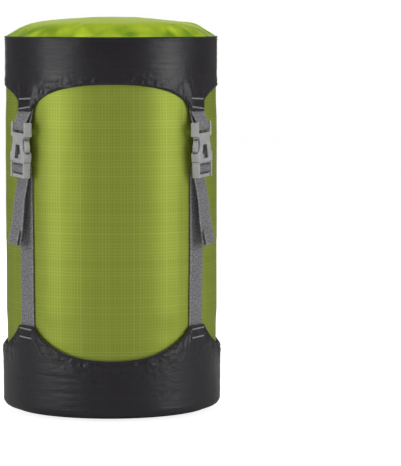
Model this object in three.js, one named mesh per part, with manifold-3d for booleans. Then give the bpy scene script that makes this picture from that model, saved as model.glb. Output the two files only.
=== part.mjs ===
// Compression sack: a fabric tube with a scalloped base band, a scalloped lift-off lid, and four webbing
// straps that join the two through side-release buckles.
// Millimetres, +Z up, front towards -Y, standing on its flat end panel at z = 0.
import * as THREE from "three";
import { mergeVertices } from "three/addons/utils/BufferGeometryUtils.js";
import Module from "manifold-3d";

const wasm = await Module();
wasm.setup();
const degrees = Math.PI / 180;

// Driving dimensions.
const tubeRadius = 105; // outside of the body fabric
const rimHeight = 372; // seam between the lid's band and its crown
const strapAzimuth = 51; // degrees of each strap from the front or the back
const tubeWall = 1.4;
const bandWall = 1.2;
const gap = 0.35; // clearance between neighbouring pieces
const crownRise = 20; // top of the crown above the rim
const webWidth = 20;
const webThick = 1.3;
const buckleTilt = 3; // degrees that each buckle leans towards the sack's side
const buckleTurn = 8; // degrees further round the sack that each buckle faces than its strap

// Base: a flat end panel with a turned-up edge, inside the base band.
const footRadius = 80; // flat part of the end panel
const baseCorner = 10.4; // height where the band starts to turn under
const baseTabTop = 90.5;
const baseFrontDip = 31; // depth of the front and back scallops below the tabs
const baseSideDip = 26;
const panelWall = 1.4;
const panelTop = 10.5;

// Lid: heights measured down from the rim.
const lidTabDrop = 71.4;
const lidFrontRise = 26.8; // height of the front and back scallops above the tabs
const lidSideRise = 23.4;
const crownSkirt = 5; // length of the crown's turned-down edge inside the band
const flareHeight = 30; // length of the swell that the webbing makes in each tab
const bindingWidth = 2.2;
const bindingWall = 0.6;

// Mouth: a folded hem that forms a channel, with an eyelet through its inner side.
const hemDrop = 6; // top of the hem below the rim
const hemHeight = 8;
const hemDepth = 5.6;
const hemInnerHeight = 7;
const eyeletBore = 1.2;
const eyeletWall = 0.4;
const eyeletFlange = 2.4;
const flangeWall = 0.6;

// Buckle: heights measured from its webbing bar, which is this far below the lid's tabs.
const barDrop = 16.1;
const barRadius = 1.5;
const slotHalf = webWidth / 2 + 0.8;
const lugTop = 5.5;
const lugWidth = 3.05;
const lugThick = 7.6;
const yoke = [-8.2, -5]; // crosspiece under the webbing
const waistHalf = slotHalf - 0.8;
const flank = [-22.5, -12.5]; // hollow stretch of each side, beside its latch arm
const femaleRim = -33;
const femaleHalf = slotHalf + 3.7;
const femaleThick = 8;
const femaleWall = 1.3;
const pocketHalf = slotHalf + 1;
const pocketTop = -10.5;
const pocketKnee = -23.5;
const pocketTopHalf = pocketHalf - 3.4;
const sideOpening = [-25, -10.8];
const windowSpan = [-30, -16.5];
const windowHalf = [5.8, 3.8]; // at its bottom and top
const ladderHalf = slotHalf + 2.6;
const ladderThick = 5.2; // behind the webbing
const railThick = 7.4;
const crosspiece = [-34.9, -30];
const middleBar = [-41.3, -38.1];
const bottomBar = [-48.6, -45.3];
const barThick = 3;
const bottomBarThick = 4;
const socketPlay = 0.5; // clearance round what slides in the female half
const guideHalf = 2.2;
const guideTop = -26;
const armRoot = -29.5;
const armTip = -11.3;
const ladderPlay = 0.3083; // room behind the ladder for the webbing to slide, where it stands nearest the sack

// Radii and heights worked out from the dimensions above.
const tubeInner = tubeRadius - tubeWall;
const lidInner = tubeRadius + gap;
const standingFace = tubeRadius + gap + webThick; // outer face of a standing strap
const baseInner = Math.hypot(standingFace + gap, webWidth / 2);
const baseOuter = baseInner + bandWall;
const tabHalfAngle = Math.asin((webWidth / 2 + 0.2) / tubeRadius);
const turnedIn = (webWidth / 2) * Math.sin(buckleTurn * degrees); // how far one edge of a turned buckle stands in
const ladderStandoff = ladderPlay + turnedIn;
const lidTabEnd = rimHeight - lidTabDrop;
const hemTop = rimHeight - hemDrop;
const tubeTop = hemTop - hemHeight - gap;
const buckleRadius = tubeRadius + 2 * (gap + webThick) + ladderStandoff + ladderThick / 2;
const barHeight = lidTabEnd - barDrop;
const pocketHeight = femaleThick - 2 * femaleWall;
const armThick = pocketHeight - 2 * socketPlay;
const guideThick = armThick - 1.2;
const layerGap = gap + 0.05; // between the two layers of a loop at its tab
const loopBack = buckleRadius - tubeRadius - gap - webThick / 2;
const loopFront = loopBack - webThick - layerGap;

// ---- Shared geometry ------------------------------------------------------------------------------------

// A closed mesh through equal rings of points. A closed sweep joins its last ring to its first.
function sweep(rings, closed) {
  const size = rings[0].length;
  const points = rings.flat();
  const faces = [];
  const add = (...corners) => {
    const [a, b, c] = corners.map((i) => points[i]);
    const flat = a.distanceTo(b) < 1e-6 || b.distanceTo(c) < 1e-6 || a.distanceTo(c) < 1e-6;
    if (!flat) faces.push(...corners);
  };
  for (let i = 0; i < (closed ? rings.length : rings.length - 1); i++) {
    const here = i * size;
    const next = ((i + 1) % rings.length) * size;
    for (let j = 0; j < size; j++) {
      const k = (j + 1) % size;
      add(here + j, here + k, next + k);
      add(here + j, next + k, next + j);
    }
  }
  const last = (rings.length - 1) * size;
  for (let j = 1; !closed && j < size - 1; j++) {
    add(0, j + 1, j);
    add(last, last + j, last + j + 1);
  }
  return facingOut(points, faces);
}

// The mesh with its faces turned outwards.
function facingOut(points, faces) {
  let volume = 0;
  for (let i = 0; i < faces.length; i += 3) {
    const [a, b, c] = faces.slice(i, i + 3).map((n) => points[n]);
    volume += a.dot(b.clone().cross(c));
  }
  if (volume < 0) faces.reverse();
  const geometry = new THREE.BufferGeometry().setFromPoints(points);
  geometry.setIndex(faces);
  return mergeVertices(geometry, 1e-4);
}

function toSolid(geometry) {
  const bare = geometry.clone();
  bare.deleteAttribute("normal");
  bare.deleteAttribute("uv");
  const merged = mergeVertices(bare, 1e-4);
  return new wasm.Manifold(
    new wasm.Mesh({
      numProp: 3,
      vertProperties: merged.attributes.position.array,
      triVerts: new Uint32Array(merged.index.array),
    }),
  );
}

function toGeometry(solid) {
  const mesh = solid.getMesh();
  const geometry = new THREE.BufferGeometry();
  geometry.setAttribute("position", new THREE.BufferAttribute(mesh.vertProperties, 3));
  geometry.setIndex(new THREE.BufferAttribute(mesh.triVerts, 1));
  return geometry;
}

// A box by its lowest and highest corner.
function block(low, high) {
  const size = high.map((v, i) => v - low[i]);
  const geometry = new THREE.BoxGeometry(...size);
  return geometry.translate(...low.map((v, i) => v + size[i] / 2));
}

// A plate whose outline lies in the x-z plane, centred on y = 0.
function plate(outline, thick, corners = 5) {
  const shape = new THREE.Shape(outline.map(([x, z]) => new THREE.Vector2(x, z)));
  const settings = { depth: thick, bevelEnabled: false, curveSegments: corners };
  const geometry = new THREE.ExtrudeGeometry(shape, settings);
  return geometry.rotateX(Math.PI / 2).translate(0, thick / 2, 0);
}

// An outline's right half, mirrored to make the whole.
function mirrored(half) {
  const left = half.map(([x, z]) => [-x, z]).reverse();
  return [...half, ...left];
}

// ---- Rings around the sack ------------------------------------------------------------------------------

// Where the rings are cut into facets: finely beside the tabs, where the scalloped edges run steeply.
// u runs from 1 beside a tab to 0 at a scallop's middle, and is 1 across a tab.
function makeStations() {
  const stations = [];
  const side = Math.PI / 2;
  const tabs = strapAzimuth * degrees;
  const arch = (centre, halfSpan, front, steps) => {
    for (let i = 0; i < steps; i++) {
      const across = Math.sin(((2 * i) / steps - 1) * side);
      const beside = halfSpan * (1 - Math.abs(across));
      stations.push({ angle: centre + halfSpan * across, u: Math.abs(across), front, beside });
    }
  };
  const tab = (centre) => {
    for (let i = -2; i < 2; i++) {
      stations.push({ angle: centre + (tabHalfAngle * i) / 2, u: 1, front: true, beside: 0 });
    }
  };
  for (const half of [0, Math.PI]) {
    arch(half, tabs - tabHalfAngle, true, 20);
    tab(half + tabs);
    arch(half + side, side - tabs - tabHalfAngle, false, 16);
    tab(half + Math.PI - tabs);
  }
  return stations;
}
const stations = makeStations();

function around(radius, angle, z) {
  return new THREE.Vector3(radius * Math.sin(angle), -radius * Math.cos(angle), z);
}

// A ring whose closed profile of [radius, height] points may change with the station.
function ring(profileAt) {
  return sweep(
    stations.map((s) => profileAt(s).map(([radius, z]) => around(radius, s.angle, z))),
    true,
  );
}

// fullness makes a scallop boxier, and a steepness nearer 0 makes it stand up beside the tabs.
function scallop(station, frontDepth, sideDepth, fullness, steepness) {
  const depth = station.front ? frontDepth : sideDepth;
  return depth * (1 - station.u ** fullness) ** steepness;
}

const baseEdge = (s) => baseTabTop - scallop(s, baseFrontDip, baseSideDip, 2.3, 0.8);
const lidEdge = (s) => lidTabEnd + scallop(s, lidFrontRise, lidSideRise, 2.2, 0.5);

// How far the webbing under a tab pushes the lid's band outwards.
const loopFace = buckleRadius - loopFront + webThick / 2;
const tabFlare = (Math.hypot(loopFace, webWidth / 2) + gap - lidInner) / 0.9;
function flareAt(station, z) {
  const fade = Math.max(0, 1 - station.beside / (5 * degrees));
  const fall = THREE.MathUtils.clamp((lidTabEnd + flareHeight - z) / flareHeight, 0, 1);
  return tabFlare * fade * fade * fall;
}

// ---- Base ---------------------------------------------------------------------------------------------

function baseEndPanel() {
  const rise = (tubeInner - footRadius) / 2;
  return ring(() => [
    [0, 0],
    [footRadius, 0],
    [footRadius + rise, 3.2],
    [tubeInner - 2.6, 5.9],
    [tubeInner, 8.6],
    [tubeInner, panelTop],
    [tubeInner - panelWall, panelTop],
    [tubeInner - panelWall, 9.2],
    [tubeInner - 3.8, 7.3],
    [footRadius + rise - 1, 4.6],
    [footRadius, panelWall],
    [0, panelWall],
  ]);
}

function baseBand() {
  return ring((s) => [
    [baseInner, baseEdge(s)],
    [baseOuter, baseEdge(s)],
    [baseOuter, baseCorner],
    [baseOuter - 1.4, 7.2],
    [baseOuter - 7, 4.2],
    [baseOuter - 12.5, 2.5],
    [baseOuter - 12.5, 3.8],
    [baseOuter - 7.4, 5.4],
    [baseInner - 1.6, 7.9],
    [baseInner, baseCorner + 0.6],
  ]);
}

// A tape along a scalloped edge, outside its band.
function edgeTape(radiusAt, edgeAt, direction) {
  return ring((s) => {
    const edge = edgeAt(s) - 0.2 * direction;
    const end = edge + bindingWidth * direction;
    const inner = radiusAt(s, edge) + gap;
    const innerEnd = radiusAt(s, end) + gap;
    return [
      [inner, edge],
      [inner + bindingWall, edge],
      [innerEnd + bindingWall, end],
      [innerEnd, end],
    ];
  });
}

function bodyTube() {
  const bottom = panelTop + gap + 0.2;
  return ring(() => [
    [tubeInner, bottom],
    [tubeRadius, bottom],
    [tubeRadius, tubeTop],
    [tubeInner, tubeTop],
  ]);
}

// ---- Mouth --------------------------------------------------------------------------------------------

const hemInner = tubeRadius - hemDepth;
const eyeletHeight = hemTop - (hemInnerHeight + tubeWall) / 2;

function mouthHem() {
  const wall = tubeWall;
  const bottom = hemTop - hemHeight;
  const channelTop = hemTop - wall;
  const fold = hemTop - hemInnerHeight;
  const channel = ring(() => [
    [tubeInner, bottom],
    [tubeRadius, bottom],
    [tubeRadius, hemTop],
    [hemInner, hemTop],
    [hemInner, fold],
    [hemInner + wall, fold],
    [hemInner + wall, channelTop],
    [tubeInner, channelTop],
  ]);
  const holeRadius = eyeletBore + eyeletWall + gap;
  const drill = new THREE.CylinderGeometry(holeRadius, holeRadius, 2 * wall + 1, 20);
  drill.translate(0, hemInner + wall / 2 - 0.3, eyeletHeight);
  return toGeometry(toSolid(channel).subtract(toSolid(drill)));
}

// A spool-shaped eyelet that clasps the inner wall of the hem.
function cordEyelet() {
  const shank = eyeletBore + eyeletWall;
  const low = hemInner - gap - flangeWall;
  const high = hemInner + tubeWall + gap + flangeWall;
  const profile = [
    [eyeletBore, low],
    [eyeletFlange, low],
    [eyeletFlange, low + flangeWall],
    [shank, low + flangeWall],
    [shank, high - flangeWall],
    [eyeletFlange, high - flangeWall],
    [eyeletFlange, high],
    [eyeletBore, high],
  ];
  const rings = [];
  for (let i = 0; i < 20; i++) {
    const turn = (i / 20) * 2 * Math.PI;
    const place = ([r, y]) => new THREE.Vector3(r * Math.cos(turn), y, eyeletHeight + r * Math.sin(turn));
    rings.push(profile.map(place));
  }
  return sweep(rings, true);
}

// ---- Lid ----------------------------------------------------------------------------------------------

function lidBand() {
  const swellTop = lidTabEnd + flareHeight;
  return ring((s) => {
    const edge = lidEdge(s);
    const inner = lidInner + flareAt(s, edge);
    return [
      [inner, edge],
      [inner + bandWall, edge],
      [lidInner + bandWall, swellTop],
      [lidInner + bandWall, rimHeight - 1],
      [lidInner + bandWall - 0.6, rimHeight],
      [lidInner, rimHeight],
      [lidInner, swellTop],
    ];
  });
}

// The crown: a low dome with a full edge and a skirt that is sewn inside the band.
function lidCrown() {
  const outer = tubeRadius - 0.1;
  const wall = bandWall;
  const dome = (radius, rise, offset) => [radius, rimHeight + rise * crownRise - offset];
  const profile = (inset, drop) => [
    dome(outer - 3.4 - inset, 0.115, drop),
    dome(outer - 9 - inset, 0.3, drop),
    dome(outer - 20, 0.6, drop),
    dome(outer - 32, 0.735, drop),
    dome(outer - 53, 0.85, drop),
    dome(0, 1, drop),
  ];
  const skirtEnd = rimHeight - crownSkirt;
  return ring(() => [
    [outer, skirtEnd],
    [outer, rimHeight],
    ...profile(0, 0),
    ...profile(wall / 2, wall).reverse(),
    [outer - wall, rimHeight - 0.5],
    [outer - wall, skirtEnd],
  ]);
}

// ---- Webbing ------------------------------------------------------------------------------------------

// A strap along route points of [x, y, z, lean], each with the width across x. lean, from 0 to 1, is the
// share of the buckle's tilt and turn that a section takes at the buckle's bar.
function strap(route, tilt = 0, turn = 0) {
  const points = route.map(([x, y, z]) => new THREE.Vector3(x, y, z));
  const rings = points.map((point, i) => {
    const before = points[Math.max(0, i - 1)];
    const after = points[Math.min(points.length - 1, i + 1)];
    const along = after.clone().sub(before).setX(0).normalize();
    const across = new THREE.Vector3(0, -along.z, along.y).multiplyScalar(webThick / 2);
    const half = new THREE.Vector3(webWidth / 2, 0, 0);
    const corners = [
      point.clone().sub(half).sub(across),
      point.clone().add(half).sub(across),
      point.clone().add(half).add(across),
      point.clone().sub(half).add(across),
    ];
    const share = route[i][3] ?? 0;
    const leaned = corners.map((c) => c.applyAxisAngle(new THREE.Vector3(0, 1, 0), tilt * share));
    return leaned.map((c) => c.applyAxisAngle(new THREE.Vector3(0, 0, 1), turn * share));
  });
  return sweep(rings, false);
}

// A standing strap, from under the base tab to the buckle's ladder, which the tilt has moved sideways.
// Heights are the sack's own.
function baseStrap(tilt) {
  const y = -(tubeRadius + gap + webThick / 2);
  const ladder = barHeight + middleBar[0];
  const shift = Math.sin(tilt) * middleBar[0];
  return strap([
    [0, y, baseTabTop - 16],
    [0, y, baseTabTop],
    [shift, y, ladder - 4],
    [shift, y - 0.25, ladder + 1.5],
    [shift, y - 0.6, ladder + 3.6],
  ]);
}

// The loop from the lid's tab round the buckle's bar, in the buckle's frame.
function topLoop(tilt, turned) {
  const turn = barRadius + gap + webThick / 2;
  const bend = [0, 45, 90, 135, 180].map((a) => {
    const angle = a * degrees;
    return [0, turn * Math.cos(angle), -turn * Math.sin(angle), 1];
  });
  return strap(
    [
      [0, loopBack, barDrop + 10.4, 0],
      [0, loopBack, barDrop + 2.4, 0],
      [0, 4.9, 9.5, 0.4],
      [0, 3, 3.5, 0.9],
      ...bend,
      [0, -1.6, 4, 0.9],
      [0, 1.1, 10, 0.4],
      [0, loopFront - 0.4, barDrop - 0.5, 0],
      [0, loopFront, barDrop + 2.7, 0],
    ],
    tilt,
    turned,
  );
}

// The free end: out through the upper slot, over the middle bar, back through the lower slot and down.
function strapTail() {
  const upper = (crosspiece[0] + middleBar[1]) / 2;
  const lower = (middleBar[0] + bottomBar[1]) / 2;
  const front = barThick / 2 + gap + webThick / 2;
  const behind = ladderThick / 2 + ladderPlay + webThick / 2 - 0.35;
  return strap([
    [0, 2.6, upper + 0.3],
    [0, 0.5, upper + 0.2],
    [0, -1.5, upper - 0.3],
    [0, -front, middleBar[1] + 0.1],
    [0, -front - 0.15, (middleBar[0] + middleBar[1]) / 2],
    [0, -front + 0.1, middleBar[0] - 0.2],
    [0, -1.2, lower + 0.1],
    [0, 1.2, lower - 0.05],
    [0, behind - 0.5, bottomBar[1] + 0.9],
    [0, behind - 0.05, bottomBar[1] - 1.1],
    [0, behind, bottomBar[0] - 0.4],
    [0, 2.5, -55],
    [0, 1.4, -62],
    [0, -0.4, -74],
    [0, -1.8, -94],
    [0, -5, -114],
  ]);
}

// ---- Buckles, in the frame of the webbing bar: x across, -y outwards, z up ------------------------------

function femaleBuckle() {
  const outerHalf = slotHalf + lugWidth;
  const body = toSolid(
    plate(
      mirrored([
        [outerHalf, yoke[1]],
        [outerHalf, yoke[0]],
        [waistHalf, yoke[0] - 1],
        [waistHalf - 0.3, flank[1]],
        [waistHalf, flank[0] + 4],
        [waistHalf + 1.5, flank[0]],
        [femaleHalf, sideOpening[0] - 0.3],
        [femaleHalf - 0.7, femaleRim],
      ]),
      femaleThick,
    ),
  );
  const lugs = [-1, 1].map((side) => {
    const inner = side * slotHalf;
    const outer = side * outerHalf;
    const x = [Math.min(inner, outer), Math.max(inner, outer)];
    return toSolid(block([x[0], -lugThick / 2, yoke[0]], [x[1], lugThick / 2, lugTop]));
  });
  const bar = new THREE.CylinderGeometry(barRadius, barRadius, 2 * slotHalf + 1, 16).rotateZ(Math.PI / 2);
  const pocket = plate(
    mirrored([
      [pocketHalf, femaleRim - 1],
      [pocketHalf, pocketKnee],
      [pocketTopHalf, pocketTop],
    ]),
    pocketHeight,
  );
  const window = plate(
    mirrored([
      [windowHalf[0], windowSpan[0]],
      [windowHalf[1], windowSpan[1]],
    ]),
    femaleThick,
  ).translate(0, -femaleThick / 2, 0);
  let solid = lugs.reduce((sum, lug) => sum.add(lug), body).add(toSolid(bar));
  solid = solid.subtract(toSolid(pocket)).subtract(toSolid(window));
  for (const side of [-1, 1]) {
    const x = [side * pocketTopHalf, side * (femaleHalf + 1)].sort((a, b) => a - b);
    const low = [x[0], -pocketHeight / 2, sideOpening[0]];
    const high = [x[1], pocketHeight / 2, sideOpening[1]];
    solid = solid.subtract(toSolid(block(low, high)));
  }
  return toGeometry(solid);
}

function maleBuckle() {
  const ladderTop = femaleRim - gap;
  const half = railThick / 2;
  const bar = ([low, high], x, thick) => toSolid(block([-x, -thick / 2, low], [x, thick / 2, high]));
  const rails = [-1, 1].map((side) => {
    const x = [side * slotHalf, side * ladderHalf].sort((a, b) => a - b);
    return toSolid(block([x[0], -half, bottomBar[0]], [x[1], half, ladderTop]));
  });
  const pieces = [
    bar(middleBar, slotHalf + 0.5, barThick),
    bar(bottomBar, slotHalf + 0.5, bottomBarThick),
    bar([crosspiece[0], ladderTop], slotHalf + 0.5, bottomBarThick),
    bar([ladderTop - 1, crosspiece[1]], pocketHalf - socketPlay, armThick),
    bar([crosspiece[1] - 1, guideTop], guideHalf, guideThick),
  ];
  return toGeometry(pieces.reduce((sum, piece) => sum.add(piece), rails[0].add(rails[1])));
}

// A springy arm whose barb shows in the female half's side opening. side is -1 or 1 in x.
function latchArm(side) {
  const wall = pocketHalf - socketPlay - 0.1;
  const outline = [
    [wall - 4.4, armRoot],
    [wall - 1, armRoot],
    [wall, sideOpening[0] + 0.4],
    [femaleHalf - 0.2, sideOpening[0] + 2.7],
    [femaleHalf + 0.2, sideOpening[0] + 7],
    [femaleHalf - 1.6, armTip - 1.3],
    [wall - 2.5, armTip],
    [wall - 3.4, armTip - 2.4],
    [wall - 2.6, armTip - 8.7],
    [wall - 4.4, armRoot + 2],
  ];
  const points = outline.map(([x, z]) => [side * x, z]);
  return plate(side > 0 ? points : points.reverse(), armThick);
}

// ---- Materials and assembly -----------------------------------------------------------------------------

const finish = (color, roughness) => new THREE.MeshStandardMaterial({ color, roughness, metalness: 0 });
const ripstop = finish(0x9aac42, 0.55);
const crownNylon = finish(0xa0be32, 0.5);
const bandNylon = finish(0x3c3a3e, 0.45);
const tape = finish(0x2a2a2c, 0.6);
const webbing = finish(0x78787d, 0.8);
const mouldedNylon = finish(0xa5a5a5, 0.4);
const brass = new THREE.MeshStandardMaterial({ color: 0x8a8a86, roughness: 0.35, metalness: 0.9 });

const sack = new THREE.Group();

function addPiece(parent, name, geometry, material) {
  const mesh = new THREE.Mesh(geometry, material);
  mesh.name = name;
  parent.add(mesh);
}

addPiece(sack, "base_end_panel", baseEndPanel(), ripstop);
addPiece(sack, "base_band", baseBand(), bandNylon);
addPiece(sack, "base_binding", edgeTape(() => baseOuter, baseEdge, -1), tape);
addPiece(sack, "body_tube", bodyTube(), ripstop);
addPiece(sack, "mouth_hem", mouthHem(), ripstop);
addPiece(sack, "cord_eyelet", cordEyelet(), brass);
addPiece(sack, "lid_band", lidBand(), bandNylon);
addPiece(sack, "lid_crown", lidCrown(), crownNylon);
const lidFace = (s, z) => lidInner + bandWall + flareAt(s, Math.max(z, lidEdge(s)));
addPiece(sack, "lid_binding", edgeTape(lidFace, lidEdge, 1), tape);

// Each strap stands at its azimuth. Its buckle leans so that the lower end points to the sack's side.
const straps = [
  { corner: "front_left", azimuth: -strapAzimuth, lean: 1 },
  { corner: "front_right", azimuth: strapAzimuth, lean: -1 },
  { corner: "back_right", azimuth: 180 - strapAzimuth, lean: 1 },
  { corner: "back_left", azimuth: strapAzimuth - 180, lean: -1 },
];

for (const { corner, azimuth, lean } of straps) {
  const tilt = lean * buckleTilt * degrees;
  const turned = -lean * buckleTurn * degrees;
  const place = new THREE.Group();
  place.rotation.z = azimuth * degrees;
  sack.add(place);
  addPiece(place, `base_strap_${corner}`, baseStrap(tilt), webbing);

  const hung = new THREE.Group();
  hung.position.set(0, -buckleRadius, barHeight);
  place.add(hung);
  addPiece(hung, `top_loop_${corner}`, topLoop(tilt, turned), webbing);

  const buckle = new THREE.Group();
  buckle.rotation.set(0, tilt, turned, "ZYX");
  hung.add(buckle);
  addPiece(buckle, `female_buckle_${corner}`, femaleBuckle(), mouldedNylon);
  addPiece(buckle, `male_buckle_${corner}`, maleBuckle(), mouldedNylon);
  addPiece(buckle, `strap_tail_${corner}`, strapTail(), webbing);
  addPiece(buckle, `latch_arm_${corner}_a`, latchArm(-1), mouldedNylon);
  addPiece(buckle, `latch_arm_${corner}_b`, latchArm(1), mouldedNylon);
}

export default sack;
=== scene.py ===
"""Compression sack: fabric, webbing, stitching and buckles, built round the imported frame.

Shapes are worked out in millimetres in the frame's own axes (+Z up, front towards -Y) and turned into
metres when a mesh is made. Fabric carries a map named "cloth" that holds its unrolled place in metres, so
every weave keeps its true scale.
"""
import math

import bmesh
import bpy
import numpy as np
from mathutils import Matrix, Vector


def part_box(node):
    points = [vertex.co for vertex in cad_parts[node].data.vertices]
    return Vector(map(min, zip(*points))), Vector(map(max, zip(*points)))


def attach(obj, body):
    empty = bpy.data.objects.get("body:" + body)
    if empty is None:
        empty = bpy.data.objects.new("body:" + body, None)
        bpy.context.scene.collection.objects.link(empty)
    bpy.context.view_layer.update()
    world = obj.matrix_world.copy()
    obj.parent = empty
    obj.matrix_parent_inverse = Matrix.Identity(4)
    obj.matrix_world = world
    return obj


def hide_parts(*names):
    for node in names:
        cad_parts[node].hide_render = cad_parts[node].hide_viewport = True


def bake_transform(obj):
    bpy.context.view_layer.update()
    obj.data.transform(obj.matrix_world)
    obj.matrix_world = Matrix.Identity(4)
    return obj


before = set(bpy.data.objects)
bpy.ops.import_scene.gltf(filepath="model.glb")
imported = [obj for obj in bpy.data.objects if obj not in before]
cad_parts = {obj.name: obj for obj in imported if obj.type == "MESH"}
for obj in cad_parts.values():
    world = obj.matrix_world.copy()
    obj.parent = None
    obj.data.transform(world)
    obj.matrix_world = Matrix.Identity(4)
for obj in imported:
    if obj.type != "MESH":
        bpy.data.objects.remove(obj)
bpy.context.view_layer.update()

MM = 0.001
CORNERS = {
    # corner: (azimuth of the strap in degrees, lean of its buckle)
    "front_left": (-51, 1),
    "front_right": (51, -1),
    "back_right": (129, 1),
    "back_left": (-129, -1),
}


# ---- Sizes, in mm ------------------------------------------------


def low_of(node):
    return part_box(node)[0].z / MM


def top_of(node):
    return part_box(node)[1].z / MM


def radius_of(node):
    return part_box(node)[1].x / MM


TUBE = radius_of("body_tube")
TUBE_LOW, TUBE_TOP = low_of("body_tube"), top_of("body_tube")
BASE = radius_of("base_band")
BASE_TAB = top_of("base_band")
LID = radius_of("lid_band")
LID_SKIN = LID - 0.8  # the lid's cloth hugs the tube
LID_TAB, RIM = low_of("lid_band"), top_of("lid_band")
HEM_LOW, HEM_TOP = low_of("mouth_hem"), top_of("mouth_hem")
HEM_INNER = TUBE - 5.6
PANEL_TOP = top_of("base_end_panel")
FABRIC = 0.9  # thickness of the modelled cloth
BASE_DIPS, BASE_CURVE = (31, 26), (2.3, 0.8)  # depth of front and side scallops; how boxy and steep
LID_RISES, LID_CURVE = (26.8, 23.4), (2.2, 0.5)
STRAP_AZIMUTH = math.radians(51)
WEB_WIDTH, WEB_THICK = 20, 1.3
TAB_HALF = math.asin((WEB_WIDTH / 2 + 0.2) / TUBE)
BASE_CORNER = 10.4
BUCKLE_R = 112.6
BAR_Z = LID_TAB - 16.1
TILT = math.radians(3)
TURN = math.radians(8)  # each buckle faces this much further to the side than its strap
SWELL_HEIGHT = 30  # how far up a lid tab its webbing shows
SWELL = 4.1
STRAP_R = 106  # how far a standing strap lies from the sack's axis
STRAP_BEND = 239.2  # height where it leaves the cloth for its ladder
LADDER_DROP = 41.3  # from the buckle's webbing bar down to its ladder


# ---- Meshes ------------------------------------------------------


def make_piece(name, points, faces, material, cloth=None, sharp=40):
    """An object from points in mm. cloth holds a place in mm for each corner of each face."""
    mesh = bpy.data.meshes.new(name)
    mesh.from_pydata((np.asarray(points, float) * MM).tolist(), [], [list(f) for f in faces])
    if cloth is not None:
        layer = mesh.uv_layers.new(name="cloth")
        layer.data.foreach_set("uv", (np.asarray(cloth, float) * MM).ravel().astype(np.float32))
    piece = bpy.data.objects.new(name, mesh)
    bpy.context.scene.collection.objects.link(piece)
    finish_mesh(mesh, sharp)
    mesh.materials.append(material)
    return piece


def finish_mesh(mesh, sharp):
    shape = bmesh.new()
    shape.from_mesh(mesh)
    bmesh.ops.recalc_face_normals(shape, faces=shape.faces)
    shape.to_mesh(mesh)
    shape.free()
    mesh.shade_smooth()
    mesh.set_sharp_from_angle(angle=math.radians(sharp))


def loft(name, rows, material, around=False, across=True, capped=False, cloth=None, sharp=40):
    """A skin through rows of points.

    around joins the last row to the first, and across joins each row's ends.
    cloth is a grid of unrolled places, one row and one column longer where the skin joins up.
    """
    count, width = rows.shape[:2]
    i, j = np.meshgrid(
        np.arange(count if around else count - 1),
        np.arange(width if across else width - 1),
        indexing="ij",
    )
    i, j = i.ravel(), j.ravel()
    corners = [(i, j), (i + 1, j), (i + 1, j + 1), (i, j + 1)]
    quads = np.stack([(a % count) * width + b % width for a, b in corners], 1)
    faces = quads.tolist()
    places = None
    if cloth is not None:
        places = np.stack([cloth[a, b] for a, b in corners], 1).reshape(-1, 2)
    if capped:
        faces += [list(range(width))[::-1], list(range((count - 1) * width, count * width))]
        if places is not None:
            places = np.vstack([places, cloth[0, :width][::-1], cloth[-1, :width]])
    return make_piece(name, rows.reshape(-1, 3), faces, material, places, sharp)


def around_sack(radius, angle, z):
    """Points at these radii, azimuths and heights. Azimuth 0 is the front, towards -Y."""
    radius, angle, z = np.broadcast_arrays(radius, angle, z)
    return np.stack([radius * np.sin(angle), -radius * np.cos(angle), z], -1)


# ---- Cloth noise -------------------------------------------------


def lumps(seed, across, up, angle, z):
    """Smooth noise over the unrolled sack, about -1 to 1, with lumps of this size in mm."""
    table = np.random.default_rng(seed).uniform(-1, 1, (max(3, round(2 * math.pi * TUBE / across)), 97))
    x = np.mod(angle / (2 * math.pi), 1) * table.shape[0]
    y = z / up + 1000
    i, j = np.floor(x).astype(int), np.floor(y).astype(int)
    fx, fy = x - i, y - j
    fx, fy = fx * fx * (3 - 2 * fx), fy * fy * (3 - 2 * fy)
    at = lambda a, b: table[(i + a) % table.shape[0], (j + b) % table.shape[1]]
    low = at(0, 0) * (1 - fx) + at(1, 0) * fx
    high = at(0, 1) * (1 - fx) + at(1, 1) * fx
    return low * (1 - fy) + high * fy


def ring_lumps(seed, across, angle):
    """Noise that changes round the sack and not up it."""
    return lumps(seed, across, 1e6, angle, 0 * angle)


def crinkles(seed, size, angle, z):
    """Sharp little creases that run every way, about -1 to 1."""
    total = 0
    for step, share in enumerate((0.6, 0.4)):
        scale = size * (1, 0.55)[step]
        warp = scale * lumps(seed + 7 + step, scale * 2.3, scale * 2.1, angle, z)
        bent = lumps(seed + step, scale * 1.4, scale, angle + warp / TUBE, z + 0.8 * warp)
        total = total + share * (1 - 2.6 * np.abs(bent))
    return total


def zone(angle, z, middle, spread, low, high):
    """A soft-edged patch of the sack's front, from its middle azimuth and spread in degrees."""
    turn = np.mod(angle - math.radians(middle) + math.pi, 2 * math.pi) - math.pi
    wide = np.exp(-((turn / math.radians(spread)) ** 2))
    return wide * smoothstep(z, low - 6, low + 2) * smoothstep(z, high + 6, high - 2)


def smoothstep(x, low, high):
    t = np.clip((x - low) / (high - low), 0, 1)
    return t * t * (3 - 2 * t)


# ---- Scalloped edges ---------------------------------------------


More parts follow.
